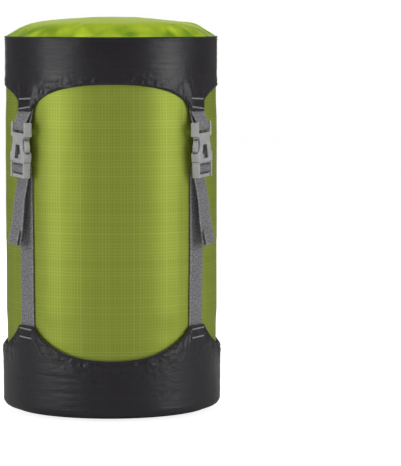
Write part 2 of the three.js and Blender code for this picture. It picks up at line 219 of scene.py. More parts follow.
def scallop_path(tab_z, depths, curve, step=1.1):
    """(azimuths, heights) at even steps along a scalloped edge, with its corners eased.

    depths are the front and side scallops' heights from the tabs, negative for the base.
    """
    angles, heights = [], []
    for half_turn in (0, math.pi):
        for centre, span, depth in (
            (half_turn, STRAP_AZIMUTH - TAB_HALF, depths[0]),
            (half_turn + math.pi / 2, math.pi / 2 - STRAP_AZIMUTH - TAB_HALF, depths[1]),
        ):
            across = np.sin(np.linspace(-math.pi / 2, math.pi / 2, 900))
            angles.append(centre + span * across)
            heights.append(tab_z + depth * np.clip(1 - np.abs(across) ** curve[0], 0, 1) ** curve[1])
    angles, heights = np.concatenate(angles), np.concatenate(heights)
    angles, heights = np.append(angles, angles[0] + 2 * math.pi), np.append(heights, heights[0])
    length = np.concatenate([[0], np.cumsum(np.hypot(np.diff(angles) * TUBE, np.diff(heights)))])
    count = int(length[-1] / step)
    even = np.linspace(0, length[-1], count, endpoint=False)
    theta, z = np.interp(even, length, angles), np.interp(even, length, heights)
    return ease(theta, 2 * math.pi), ease(z, 0)


def ease(values, period, rounds=2):
    """A closed run of values, each averaged with its neighbours. It grows by period in one turn."""
    for _ in range(rounds):
        before, after = np.roll(values, 1), np.roll(values, -1)
        before[0] -= period
        after[-1] += period
        values = 0.25 * before + 0.5 * values + 0.25 * after
    return values


BASE_EDGE = scallop_path(BASE_TAB, (-BASE_DIPS[0], -BASE_DIPS[1]), BASE_CURVE)
LID_EDGE = scallop_path(LID_TAB, LID_RISES, LID_CURVE)


def beside_tab(angle):
    """Angle to the nearest strap's middle line."""
    folded = np.abs(np.mod(angle + math.pi / 2, math.pi) - math.pi / 2)
    return np.abs(folded - STRAP_AZIMUTH)


def lid_swell(angle, z):
    """How far the webbing under a lid tab pushes the cloth out."""
    side = 1 - smoothstep(beside_tab(angle), TAB_HALF * 0.8, TAB_HALF * 1.7)
    return SWELL * side * np.clip((LID_TAB + SWELL_HEIGHT - z) / SWELL_HEIGHT, 0, 1)


def tab_fan(angle, z, tab_z, seed):
    """Creases that spread like a fan from each tab into its band."""
    x = (np.mod(angle + math.pi / 2, math.pi) - math.pi / 2)
    x = np.where(x < 0, x + STRAP_AZIMUTH, x - STRAP_AZIMUTH) * TUBE
    far = np.hypot(x, z - tab_z)
    turn = np.arctan2(x, np.abs(z - tab_z) + 1)
    rays = lumps(seed, 2 * math.pi * TUBE / 60, 1e6, turn * 1.3 + 3, 0 * z)
    return rays * np.exp(-(((far - 22) / 15) ** 2))


# ---- Materials ---------------------------------------------------


def add(tree, kind, *inputs, **settings):
    """A node with its inputs given in order as sockets or values. None leaves one as it is."""
    node = tree.nodes.new("ShaderNode" + kind)
    for name, value in settings.items():
        setattr(node, name, value)
    for socket, value in zip([s for s in node.inputs if s.enabled], inputs):
        if value is not None:
            feed(tree, socket, value)
    return node


def feed(tree, socket, value):
    if isinstance(value, bpy.types.NodeSocket):
        tree.links.new(value, socket)
    else:
        socket.default_value = value


def maths(tree, operation, *inputs):
    return add(tree, "Math", *inputs, operation=operation).outputs[0]


def noise(tree, place, **values):
    node = add(tree, "TexNoise", place)
    for label, value in values.items():
        feed(tree, node.inputs[label], value)
    return node.outputs[0]


def blend_colour(tree, share, first, second):
    node = tree.nodes.new("ShaderNodeMix")
    node.data_type = "RGBA"
    for index, value in ((0, share), (6, first), (7, second)):
        feed(tree, node.inputs[index], value)
    return node.outputs[2]


def shade_group(name, inputs, outputs):
    """An empty node group: (tree, its inputs by name, a function that sets its outputs)."""
    tree = bpy.data.node_groups.new(name, "ShaderNodeTree")
    for label, (kind, value) in inputs.items():
        socket = tree.interface.new_socket(label, in_out="INPUT", socket_type=kind)
        if value is not None:
            socket.default_value = value
    for label, kind in outputs.items():
        tree.interface.new_socket(label, in_out="OUTPUT", socket_type=kind)
    start = tree.nodes.new("NodeGroupInput")
    end = tree.nodes.new("NodeGroupOutput")

    def put(**values):
        for label, socket in values.items():
            tree.links.new(socket, end.inputs[label.replace("_", " ")])

    return tree, start.outputs, put


FLOAT, VECTOR, COLOUR = "NodeSocketFloat", "NodeSocketVector", "NodeSocketColor"


def ripstop_group():
    """Plain weave with a grid of thicker threads. Each thread has its own brightness."""
    tree, given, put = shade_group(
        "Ripstop grid",
        {
            "Cloth": (VECTOR, None),
            "Cell": (FLOAT, 0.003),
            "Thread": (FLOAT, 0.16),
            "Ground": (COLOUR, None),
            "Line": (COLOUR, None),
            "Unevenness": (FLOAT, 0.5),
        },
        {"Colour": COLOUR, "Height": FLOAT},
    )
    scaled = add(tree, "VectorMath", given["Cloth"], operation="SCALE")
    tree.links.new(maths(tree, "DIVIDE", 1.0, given["Cell"]), scaled.inputs["Scale"])
    split = add(tree, "SeparateXYZ", scaled.outputs[0])
    lines, shades = [], []
    for axis, offset in ((0, 11.3), (1, 47.9)):
        place = split.outputs[axis]
        nearest = maths(tree, "ROUND", place)
        away = maths(tree, "ABSOLUTE", maths(tree, "SUBTRACT", place, nearest))
        line = maths(tree, "SUBTRACT", 1.0, maths(tree, "SMOOTH_MIN", maths(
            tree, "DIVIDE", away, given["Thread"]), 1.0, 0.25))
        thread = maths(tree, "ADD", nearest, offset)
        luck = add(tree, "TexWhiteNoise", noise_dimensions="1D")
        tree.links.new(thread, luck.inputs["W"])
        drift = add(tree, "TexNoise", noise_dimensions="1D")
        tree.links.new(thread, drift.inputs["W"])
        drift.inputs["Scale"].default_value = 0.23
        drift.inputs["Detail"].default_value = 1.0
        shade = maths(tree, "ADD", maths(tree, "MULTIPLY", luck.outputs["Value"], 0.45),
                      maths(tree, "MULTIPLY", drift.outputs[0], 0.75))
        lines.append(maths(tree, "MULTIPLY", line, shade))
        shades.append(shade)
    grid = maths(tree, "MAXIMUM", lines[0], lines[1])
    cells = maths(tree, "MULTIPLY", maths(tree, "SUBTRACT", maths(
        tree, "ADD", shades[0], shades[1]), 1.2), given["Unevenness"])
    amount = add(tree, "Clamp", maths(tree, "ADD", grid, maths(tree, "MULTIPLY", cells, 0.55)))
    put(Colour=blend_colour(tree, amount.outputs[0], given["Ground"], given["Line"]), Height=grid)
    return tree


def crumple_group():
    """Fine creases that run mostly one way, stronger in patches."""
    tree, given, put = shade_group(
        "Cloth creases",
        {"Cloth": (VECTOR, None), "Across": (FLOAT, 40.0), "Up": (FLOAT, 260.0), "Patch": (FLOAT, 14.0)},
        {"Height": FLOAT, "Patches": FLOAT},
    )
    stretch = add(tree, "CombineXYZ", given["Across"], given["Up"], 1.0)
    place = add(tree, "VectorMath", given["Cloth"], stretch.outputs[0], operation="MULTIPLY")
    creases = noise(tree, place.outputs[0], Scale=1.0, Detail=3.0, Roughness=0.6, Distortion=0.5)
    patches = noise(tree, given["Cloth"], Scale=given["Patch"], Detail=1.0)
    strong = add(tree, "MapRange", patches, 0.38, 0.66, 0.0, 1.0)
    ridge = maths(tree, "ABSOLUTE", maths(tree, "SUBTRACT", creases, 0.5))
    put(Height=maths(tree, "MULTIPLY", maths(tree, "SUBTRACT", 0.5, ridge), maths(
        tree, "ADD", 0.35, strong.outputs[0])), Patches=strong.outputs[0])
    return tree


def webbing_group():
    """Flat webbing: rows of slanting ribs with a plain woven edge on each side. Its colour darkens in the
    furrows between ribs, painted shade.
    """
    tree, given, put = shade_group(
        "Webbing ribs",
        {
            "Cloth": (VECTOR, None),
            "Rib": (FLOAT, 0.0011),
            "Row": (FLOAT, 0.0018),
            "Half width": (FLOAT, 0.01),
            "Dark": (COLOUR, None),
            "Light": (COLOUR, None),
        },
        {"Colour": COLOUR, "Height": FLOAT},
    )
    split = add(tree, "SeparateXYZ", given["Cloth"])
    across, along = split.outputs[0], split.outputs[1]
    row = maths(tree, "DIVIDE", across, given["Row"])
    slant = maths(tree, "PINGPONG", row, 1.0)
    count = maths(tree, "DIVIDE", along, given["Rib"])
    rib = maths(tree, "ADD", count, maths(tree, "MULTIPLY", slant, 0.8))
    wave = maths(tree, "ABSOLUTE", maths(tree, "SINE", maths(tree, "MULTIPLY", rib, math.pi)))
    furrow = maths(tree, "ABSOLUTE", maths(tree, "SINE", maths(tree, "MULTIPLY", row, math.pi)))
    weave = maths(tree, "MULTIPLY", wave, maths(tree, "POWER", furrow, 0.4))
    edge = add(tree, "MapRange", maths(tree, "DIVIDE", maths(
        tree, "ABSOLUTE", across), given["Half width"]), 0.84, 0.9, 0.0, 1.0)
    height = maths(tree, "ADD", maths(tree, "MULTIPLY", weave, maths(
        tree, "SUBTRACT", 1.0, edge.outputs[0])), maths(tree, "MULTIPLY", edge.outputs[0], 0.85))
    fuzz = noise(tree, given["Cloth"], Scale=560.0, Detail=2.0)
    speckle = add(tree, "MapRange", fuzz, 0.36, 0.64, 0.0, 1.0)
    fade = noise(tree, given["Cloth"], Scale=45.0)
    # Painted shade in the furrows: colour follows the ribs' height, mixed with random speckle and fading.
    tone_and_furrow_shade = maths(tree, "ADD", maths(tree, "MULTIPLY", height, 0.42), maths(tree, "ADD", maths(
        tree, "MULTIPLY", speckle.outputs[0], 0.42), maths(tree, "MULTIPLY", fade, 0.2)))
    amount = add(tree, "Clamp", maths(tree, "SUBTRACT", tone_and_furrow_shade, 0.1))
    put(Colour=blend_colour(tree, amount.outputs[0], given["Dark"], given["Light"]), Height=height)
    return tree


def grain_group():
    """Fine moulded grain and scuffs."""
    tree, given, put = shade_group(
        "Moulded grain",
        {"Place": (VECTOR, None), "Base": (COLOUR, None), "Scuffed": (COLOUR, None)},
        {"Colour": COLOUR, "Height": FLOAT, "Roughness": FLOAT},
    )
    grain = noise(tree, given["Place"], Scale=1400.0, Detail=2.0)
    scuff = noise(tree, given["Place"], Scale=130.0, Detail=4.0, Roughness=0.7)
    worn = add(tree, "MapRange", scuff, 0.42, 0.75, 0.0, 1.0)
    put(
        Colour=blend_colour(tree, worn.outputs[0], given["Base"], given["Scuffed"]),
        Height=grain,
        Roughness=maths(tree, "ADD", 0.36, maths(tree, "MULTIPLY", worn.outputs[0], 0.2)),
    )
    return tree


RIPSTOP_GRID = ripstop_group()
CLOTH_CREASES = crumple_group()
WEBBING_RIBS = webbing_group()
MOULDED_GRAIN = grain_group()


def srgb(*levels):
    """A linear colour from display levels of 0 to 255."""
    shares = [v / 255 for v in levels]
    return tuple(v / 12.92 if v <= 0.04045 else ((v + 0.055) / 1.055) ** 2.4 for v in shares) + (1.0,)


def new_material(name, **shader_values):
    material = bpy.data.materials.new(name)
    material.use_nodes = True
    tree = material.node_tree
    shader = tree.nodes["Principled BSDF"]
    for label, value in shader_values.items():
        shader.inputs[label.replace("_", " ")].default_value = value
    material.diffuse_color = (0.5, 0.5, 0.5, 1)
    return material, tree, shader


def use_group(tree, group, **values):
    node = tree.nodes.new("ShaderNodeGroup")
    node.node_tree = group
    for label, value in values.items():
        feed(tree, node.inputs[label.replace("_", " ")], value)
    return node


def cloth_map(tree):
    return add(tree, "UVMap", uv_map="cloth").outputs[0]


def bump(tree, shader, *layers):
    """Bump nodes in a chain, each (height socket, distance in mm, strength)."""
    normal = None
    for height, distance, strength in layers:
        node = tree.nodes.new("ShaderNodeBump")
        node.inputs["Distance"].default_value = distance * MM
        node.inputs["Strength"].default_value = strength
        tree.links.new(height, node.inputs["Height"])
        if normal is not None:
            tree.links.new(normal, node.inputs["Normal"])
        normal = node.outputs[0]
    tree.links.new(normal, shader.inputs["Normal"])


def make_ripstop(name, ground, line, roughness, unevenness=0.5):
    material, tree, shader = new_material(
        name, Roughness=roughness, Metallic=0.4, Specular_IOR_Level=0.3, Specular_Tint=line
    )
    cloth = cloth_map(tree)
    grid = {"Cell": 0.0031, "Thread": 0.36, "Unevenness": unevenness}
    weave = use_group(tree, RIPSTOP_GRID, Cloth=cloth, Ground=ground, Line=line, **grid)
    creases = use_group(tree, CLOTH_CREASES, Cloth=cloth, Across=55.0, Up=70.0, Patch=9.0)
    tree.links.new(weave.outputs["Colour"], shader.inputs["Base Color"])
    bump(tree, shader, (creases.outputs["Height"], 0.5, 0.35), (weave.outputs["Height"], 0.05, 0.6))
    return material


def make_band_nylon():
    """Coated dark nylon with a soft shine and fine creases round the sack."""
    material, tree, shader = new_material(
        "Dark coated nylon", Specular_IOR_Level=0.42, Sheen_Weight=0.02
    )
    cloth = cloth_map(tree)
    creases = use_group(tree, CLOTH_CREASES, Cloth=cloth)
    fine = use_group(tree, CLOTH_CREASES, Cloth=cloth, Across=320.0, Up=420.0, Patch=30.0)
    weave = use_group(
        tree, RIPSTOP_GRID, Cloth=cloth, Cell=0.0012, Ground=srgb(33, 30, 35), Line=srgb(43, 39, 45)
    )
    tree.links.new(weave.outputs["Colour"], shader.inputs["Base Color"])
    dull = add(tree, "MapRange", creases.outputs["Patches"], 0.0, 1.0, 0.34, 0.46)
    tree.links.new(dull.outputs[0], shader.inputs["Roughness"])
    layers = (creases, 1.1, 0.65), (fine, 0.3, 0.5), (weave, 0.03, 0.5)
    bump(tree, shader, *[(group.outputs["Height"], deep, strong) for group, deep, strong in layers])
    return material


def make_crown_nylon():
    material, tree, shader = new_material(
        "Bright lid nylon", Roughness=0.55, Specular_IOR_Level=0.25, Metallic=0.25
    )
    cloth = cloth_map(tree)
    # Two copies of the weave: the lit green, and a darker green that is painted shade for the gathers.
    weave, deep = [
        use_group(tree, RIPSTOP_GRID, Cloth=cloth, Cell=0.0016, Ground=ground, Line=line)
        for ground, line in (
            (srgb(200, 226, 48), srgb(212, 235, 66)),
            (srgb(112, 162, 16), srgb(126, 174, 28)),
        )
    ]
    creases = use_group(tree, CLOTH_CREASES, Cloth=cloth, Across=60.0, Up=60.0, Patch=44.0)
    radius = add(tree, "VectorMath", cloth, operation="LENGTH").outputs["Value"]
    outer = add(tree, "MapRange", radius, 0.078, 0.099, 0.0, 0.9).outputs[0]
    # Painted shade: the darker weave shows in crease patches towards the rim, where the gathers fold.
    gather_shade = maths(tree, "MULTIPLY", outer, creases.outputs["Patches"])
    colour = blend_colour(tree, gather_shade, weave.outputs["Colour"], deep.outputs["Colour"])
    tree.links.new(colour, shader.inputs["Base Color"])
    bump(tree, shader, (creases.outputs["Height"], 0.8, 0.4), (weave.outputs["Height"], 0.04, 0.6))
    return material


def webbing_material(name, dark, light, rib=0.0011):
    material, tree, shader = new_material(name, Roughness=0.72, Specular_IOR_Level=0.35, Sheen_Weight=0.2)
    ribs = use_group(tree, WEBBING_RIBS, Cloth=cloth_map(tree), Dark=dark, Light=light, Rib=rib)
    tree.links.new(ribs.outputs["Colour"], shader.inputs["Base Color"])
    bump(tree, shader, (ribs.outputs["Height"], 0.35, 0.9))
    return material


def make_thread(name, dark, light):
    """Twisted polyester thread."""
    material, tree, shader = new_material(name, Roughness=0.6, Sheen_Weight=0.2)
    place = add(tree, "TexCoord").outputs["Object"]
    twist = noise(tree, place, Scale=1700.0)
    tree.links.new(blend_colour(tree, twist, dark, light), shader.inputs["Base Color"])
    bump(tree, shader, (twist, 0.1, 0.6))
    return material


def make_grained(name, base, scuffed, depth, strength, **shader_values):
    """A smooth hard material with fine grain and scuffs."""
    material, tree, shader = new_material(name, **shader_values)
    place = add(tree, "TexCoord").outputs["Object"]
    grain = use_group(tree, MOULDED_GRAIN, Place=place, Base=base, Scuffed=scuffed)
    tree.links.new(grain.outputs["Colour"], shader.inputs["Base Color"])
    tree.links.new(grain.outputs["Roughness"], shader.inputs["Roughness"])
    bump(tree, shader, (grain.outputs["Height"], depth, strength))
    return material


BODY_RIPSTOP = make_ripstop("Green ripstop", srgb(151, 166, 64), srgb(174, 187, 88), 0.46, 0.22)
CROWN_NYLON = make_crown_nylon()
BAND_NYLON = make_band_nylon()
# The dark end of each webbing colour falls in the furrows between ribs, as painted shade.
EDGE_TAPE = webbing_material("Edge tape", srgb(24, 24, 26), srgb(50, 49, 52), 0.0008)
GREY_WEBBING = webbing_material("Grey webbing", srgb(66, 66, 70), srgb(186, 185, 190), 0.0016)
DARK_THREAD = make_thread("Dark thread", srgb(34, 33, 36), srgb(62, 61, 65))
PALE_THREAD = make_thread("Pale thread", srgb(124, 122, 124), srgb(176, 174, 174))
GREEN_THREAD = make_thread("Green thread", srgb(104, 118, 36), srgb(146, 160, 62))
GREY_MOULDING = make_grained(
    "Grey moulded nylon", srgb(182, 181, 181), srgb(200, 199, 199), 0.06, 0.5, Specular_IOR_Level=0.5
)
EYELET_METAL = make_grained(
    "Nickelled eyelet", srgb(150, 150, 146), srgb(180, 180, 176), 0.02, 0.4, Metallic=1.0
)


# ---- Camera, light and floor -------------------------------------

world_scene = bpy.context.scene
world_scene.view_settings.view_transform = "Standard"
camera_data = bpy.data.cameras.new("camera")
camera_data.lens = 211
camera_data.sensor_width = 36
camera = bpy.data.objects.new("camera", camera_data)
camera.location = (0, -2.73, 0.40)
camera.rotation_euler = (math.radians(90 - 4.7), 0, math.radians(-1.87))
world_scene.collection.objects.link(camera)
world_scene.camera = camera


def softbox(name, azimuth, distance, height, size, watts):
    """An area light aimed at the middle of the sack."""
    lamp = bpy.data.lights.new(name, "AREA")
    lamp.shape = "RECTANGLE"
    lamp.size, lamp.size_y = size
    lamp.energy = watts
    box = bpy.data.objects.new(name, lamp)
    turn = math.radians(azimuth)
    box.location = (distance * math.sin(turn), -distance * math.cos(turn), height)
    aim = Vector((0, 0, 0.19)) - box.location
    box.rotation_euler = aim.to_track_quat("-Z", "Y").to_euler()
    box.visible_camera = False
    world_scene.collection.objects.link(box)


softbox("left_softbox", -60, 1.7, 0.27, (0.95, 1.5), 15)
softbox("right_softbox", 64, 1.7, 0.27, (0.8, 1.5), 14.5)
softbox("top_softbox", 0, 0.5, 1.8, (1.2, 1.2), 9)
softbox("back_softbox", 180, 1.9, 0.6, (1.2, 1.2), 7)

sky = bpy.data.worlds.new("studio")
sky.use_nodes = True
world_scene.world = sky
seen = add(sky.node_tree, "LightPath").outputs["Is Camera Ray"]
strength = add(sky.node_tree, "MapRange", seen, 0.0, 1.0, 0.16, 1.0)
sky.node_tree.links.new(strength.outputs[0], sky.node_tree.nodes["Background"].inputs["Strength"])
sky.node_tree.nodes["Background"].inputs["Color"].default_value = (1, 1, 1, 1)

floor_mesh = bpy.data.meshes.new("floor")
floor_corners = [(x, y, -0.0004) for x, y in ((-6, -6), (6, -6), (6, 6), (-6, 6))]
floor_mesh.from_pydata(floor_corners, [], [(0, 1, 2, 3)])
floor = bpy.data.objects.new("floor", floor_mesh)
world_scene.collection.objects.link(floor)
floor_material, floor_tree, floor_shader = new_material("Studio floor", Roughness=0.9)
floor_shader.inputs["Base Color"].default_value = (0.8, 0.8, 0.8, 1)
floor_shader.inputs["Emission Color"].default_value = (1, 1, 1, 1)
floor_glow = add(floor_tree, "MapRange", None, 0.0, 1.0, 0.0, 0.86)
floor_tree.links.new(add(floor_tree, "LightPath").outputs["Is Camera Ray"], floor_glow.inputs[0])
floor_tree.links.new(floor_glow.outputs[0], floor_shader.inputs["Emission Strength"])
floor_mesh.materials.append(floor_material)


# ---- Fabric ------------------------------------------------------


def keep(piece, slot, *nodes, body=None):
    """Hide the CAD nodes a piece stands for and attach it to the body it rides on. Its finish slot is not
    used.
    """
    if nodes:
        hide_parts(*nodes)
    if body:
        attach(piece, body)
    return piece


def whole_turn(count):
    return np.linspace(0, 2 * math.pi, count, endpoint=False)


def ring_cloth(angle, z, shape):
    """Unrolled places for a skin joined round the sack, with one more row and column."""
    angle, z = np.broadcast_to(angle, shape), np.broadcast_to(z, shape)
    across = np.vstack([angle, angle[:1] + 2 * math.pi]) * TUBE
    up = np.vstack([z, z[:1]])
    grid = np.stack([across, up], -1)
    return np.concatenate([grid, grid[:, :1]], 1)


def make_body_tube():
    outer_z = np.linspace(TUBE_LOW, TUBE_TOP + 0.8, 96)
    inner_z = np.linspace(TUBE_TOP + 0.8, TUBE_LOW, 16)
    angle = whole_turn(420)[:, None]
    z = outer_z[None, :]
    free = smoothstep(z, 84, 104) * smoothstep(z, 312, 288) * smoothstep(beside_tab(angle), 0.1, 0.3)
    radius = TUBE - 0.5 + 0.8 * free + 0.22 * lumps(11, 46, 70, angle, z)
    radius = radius + 0.12 * lumps(12, 13, 17, angle, z)
    seam = np.abs(np.abs(np.mod(angle, 2 * math.pi)) - math.pi) * TUBE
    radius = radius + 0.35 * np.exp(-((seam - 3) / 2.2) ** 2) - 0.5 * np.exp(-(seam / 0.7) ** 2)
    outer = around_sack(radius, angle, z)
    inner = around_sack(TUBE - 1.4 - FABRIC, angle, inner_z[None, :])
    rows = np.concatenate([outer, inner], 1)
    heights = np.concatenate([outer_z, inner_z])[None, :]
    cloth = ring_cloth(angle, heights, rows.shape[:2])
    piece = loft("body_cloth", rows, BODY_RIPSTOP, around=True, cloth=cloth)
    keep(piece, "body_ripstop", "body_tube")
    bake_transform(piece)


def even_angles(edge):
    """Evenly spread azimuths that meet the edge's own at the middle of the front."""
    angles = edge[0]
    count = len(angles)
    middle = np.interp(0, np.append(angles, angles[0] + 2 * math.pi), np.arange(count + 1))
    return (np.arange(count) - middle) * 2 * math.pi / count


def edge_puckers(seed, angle, away, reach, tall):
    """Short gathers that run in from a sewn edge."""
    lean = 0.35 * away * ring_lumps(seed + 3, 30, angle) / TUBE
    small = 1 - 2.4 * np.abs(ring_lumps(seed, 5.2, angle + lean))
    wide = ring_lumps(seed + 1, 9, angle + lean)
    patchy = 0.6 + 0.4 * ring_lumps(seed + 2, 34, angle)
    return tall * patchy * (0.6 * small + 0.5 * wide) * np.exp(-away / reach) * smoothstep(away, 0.2, 2.4)


def base_relief(angle, z, away):
    lined = 0.6 * smoothstep(lumps(32, 70, 38, angle, z), 0, 0.6) + zone(angle, z, -27, 17, 14, 52)
    lines = lumps(31, 36, 2.3, angle, z) * lined
    upright = lumps(38, 3.6, 21, angle, z) * zone(angle, z, -2, 5, 22, 52)
    near_edge = np.exp(-away / 11) * smoothstep(away, 1, 4)
    return (
        0.3 * lumps(30, 60, 45, angle, z)
        + 0.3 * lines
        + 0.25 * upright
        + 1.0 * crinkles(33, 5.5, angle, z) * near_edge
        + 0.07 * crinkles(133, 9, angle, z)
        + 0.16 * tab_fan(angle, z, BASE_TAB, 34)
        + edge_puckers(35, angle, away, 9, 1.0)
    )


def lid_relief(angle, z, away):
    lined = 0.5 * smoothstep(lumps(42, 64, 34, angle, z), 0, 0.7)
    lined = lined + zone(angle, z, 20, 20, 328, 358) + zone(angle, z, -30, 16, 318, 334)
    lines = lumps(41, 30, 2.6, angle, z) * lined
    upright = lumps(48, 3.8, 24, angle, z) * zone(angle, z, 2, 4, 330, 356)
    under_rim = lumps(44, 9, 40, angle, z) * smoothstep(z, RIM - 13, RIM - 1)
    near_edge = np.exp(-away / 7) * smoothstep(away, 1, 4)
    return (
        0.28 * lumps(40, 70, 40, angle, z)
        + 0.3 * lines
        + 0.2 * upright
        + 0.2 * under_rim
        + 0.85 * crinkles(43, 4.8, angle, z) * near_edge
        + 0.05 * crinkles(143, 9, angle, z)
        + 0.14 * tab_fan(angle, z, LID_TAB, 45)
        + edge_puckers(46, angle, away, 6, 0.8)
    )


def make_base_band():
    edge_angle, edge_z = BASE_EDGE
    even = even_angles(BASE_EDGE)[:, None]
    down = (np.linspace(0, 1, 44) ** 1.2)[None, :]
    angle = edge_angle[:, None] + (even - edge_angle[:, None]) * down
    z = edge_z[:, None] + (BASE_CORNER - edge_z[:, None]) * down
    away = edge_z[:, None] - z
    calm = smoothstep(z, 8, 22)
    wall = BASE + 0.05 + base_relief(angle, z, away) * (0.35 + 0.65 * calm)
    under_r = BASE - np.array([0.5, 2.0, 4.3, 7.0, 9.7, 12.5])[None, :]
    under_z = np.array([8.9, 6.6, 5.2, 4.2, 3.3, 2.5])[None, :]
    tucks = 0.35 * ring_lumps(37, 9, even)
    back = np.linspace(1, 0, 9)[None, :]
    back_z = BASE_CORNER + (edge_z[:, None] - BASE_CORNER) * (1 - back)
    back_angle = even + (edge_angle[:, None] - even) * (1 - back)
    rows = np.concatenate(
        [
            around_sack(wall, angle, z),
            around_sack(under_r + tucks * 0.6, even, np.maximum(under_z + tucks * 0.5, 0.35)),
            around_sack(np.array([96.6, 101.4, 105.6]), even, np.array([3.6, 5.3, 7.9])),
            around_sack(BASE - FABRIC - 0.75, back_angle, back_z),
        ],
        1,
    )
    drop = np.cumsum([3.1, 2.9, 3.0, 2.9, 2.8, 2.8, 0, -5, -5, -5])
    along = np.concatenate(
        [z, BASE_CORNER - np.broadcast_to(drop[:9], (len(even), 9)), back_z], 1
    )
    turn = np.concatenate([angle, np.broadcast_to(even, (len(even), 9)), back_angle], 1)
    cloth = ring_cloth(turn, along, rows.shape[:2])
    piece = loft("base_band_cloth", rows, BAND_NYLON, around=True, cloth=cloth)
    keep(piece, "band_nylon", "base_band", body="base")


def make_lid_band():
    edge_angle, edge_z = LID_EDGE
    even = even_angles(LID_EDGE)[:, None]
    up = (np.linspace(0, 1, 46) ** 1.15)[None, :]
    angle = edge_angle[:, None] + (even - edge_angle[:, None]) * up
    z = edge_z[:, None] + (RIM - 0.3 - edge_z[:, None]) * up
    away = z - edge_z[:, None]
    relief = lid_relief(angle, z, away) * smoothstep(z, RIM, RIM - 3)
    wall = LID_SKIN + np.maximum(relief, -0.35) + lid_swell(angle, z)
    back = np.linspace(0, 1, 12)[None, :]
    back_z = RIM - 1.2 + (edge_z[:, None] - RIM + 1.2) * back
    back_angle = even + (edge_angle[:, None] - even) * back
    inside = LID_SKIN - FABRIC + 0.1 + lid_swell(back_angle, back_z)
    rows = np.concatenate([around_sack(wall, angle, z), around_sack(inside, back_angle, back_z)], 1)
    cloth = ring_cloth(
        np.concatenate([angle, back_angle], 1), np.concatenate([z, back_z], 1), rows.shape[:2]
    )
    piece = loft("lid_band_cloth", rows, BAND_NYLON, around=True, cloth=cloth)
    keep(piece, "band_nylon", "lid_band", body="lid")


def edge_frames(angle, z):
    """Along, outward and across directions at each point of a closed edge round the sack."""
    points = around_sack(TUBE, angle, z)
    along = np.roll(points, -1, 0) - np.roll(points, 1, 0)
    along /= np.linalg.norm(along, axis=1, keepdims=True)
    outward = around_sack(1, angle, 0)
    across = np.cross(along, outward)
    return along, outward, across / np.linalg.norm(across, axis=1, keepdims=True)


def boxy(wave, power):
    return np.sign(wave) * np.abs(wave) ** power


def make_binding(name, node, edge, radius, body, up, seed):
    """Woven tape folded over a scalloped edge, with a row of stitches on it."""
    angle, z = edge
    along, outward, across = edge_frames(angle, z)
    across = across * np.where((across[:, 2:] > 0) == (up > 0), 1, -1)
    ripple = 0.12 * ring_lumps(seed, 4.6, angle)
    turn = whole_turn(18)
    out = boxy(np.cos(turn), 0.55) * 0.8
    wide = boxy(np.sin(turn), 0.6) * 1.35 - 0.85
    centre = around_sack(radius - FABRIC / 2 + ripple, angle, z)
    rows = centre[:, None] + outward[:, None] * out[None, :, None] + across[:, None] * wide[None, :, None]
    length = np.concatenate([[0], np.cumsum(np.linalg.norm(np.diff(centre, axis=0), axis=1))])
    length = np.append(length, length[-1] + 1.1)
    girth = np.linspace(0, 7.6, len(turn) + 1)
    cloth = np.stack(np.broadcast_arrays(girth[None, :] - 1.9, length[:, None]), -1)
    piece = loft(name, rows, EDGE_TAPE, around=True, cloth=cloth, sharp=60)
    keep(piece, "edge_tape", node, body=body)
    seam = centre + outward * 0.98 - across * 1.35
    make_stitches(name + "_stitches", seam[::3], along[::3], outward[::3], 2.1, 0.17, DARK_THREAD, body)


def make_stitches(name, centres, along, outward, length, thick, material, body, slot="edge_tape"):
    """A row of short rounded threads, one mesh. Each bows out of the cloth in its middle."""
    side = np.cross(along, outward)
    steps = np.array([-1.0, -0.82, -0.4, 0.4, 0.82, 1.0])
    girth = np.array([0.25, 0.75, 1.0, 1.0, 0.75, 0.25]) * thick
    lift = np.array([-0.6, -0.1, 0.5, 0.5, -0.1, -0.6]) * thick
    turn = whole_turn(6)
    rows = (
        centres[:, None, None]
        + along[:, None, None] * (steps * length / 2)[None, :, None, None]
        + outward[:, None, None] * (lift[:, None] + girth[:, None] * np.cos(turn))[None, :, :, None]
        + side[:, None, None] * (girth[:, None] * np.sin(turn))[None, :, :, None]
    )
    ring = np.arange(6)
    one = []
    for k in range(5):
        for j in ring:
            one.append([k * 6 + j, k * 6 + (j + 1) % 6, (k + 1) * 6 + (j + 1) % 6, (k + 1) * 6 + j])
    faces = (np.array(one)[None] + 36 * np.arange(len(centres))[:, None, None]).reshape(-1, 4).tolist()
    for index in range(len(centres)):
        faces.append((ring[::-1] + index * 36).tolist())
        faces.append((ring + 30 + index * 36).tolist())
    return keep(make_piece(name, rows.reshape(-1, 3), faces, material), slot, body=body)


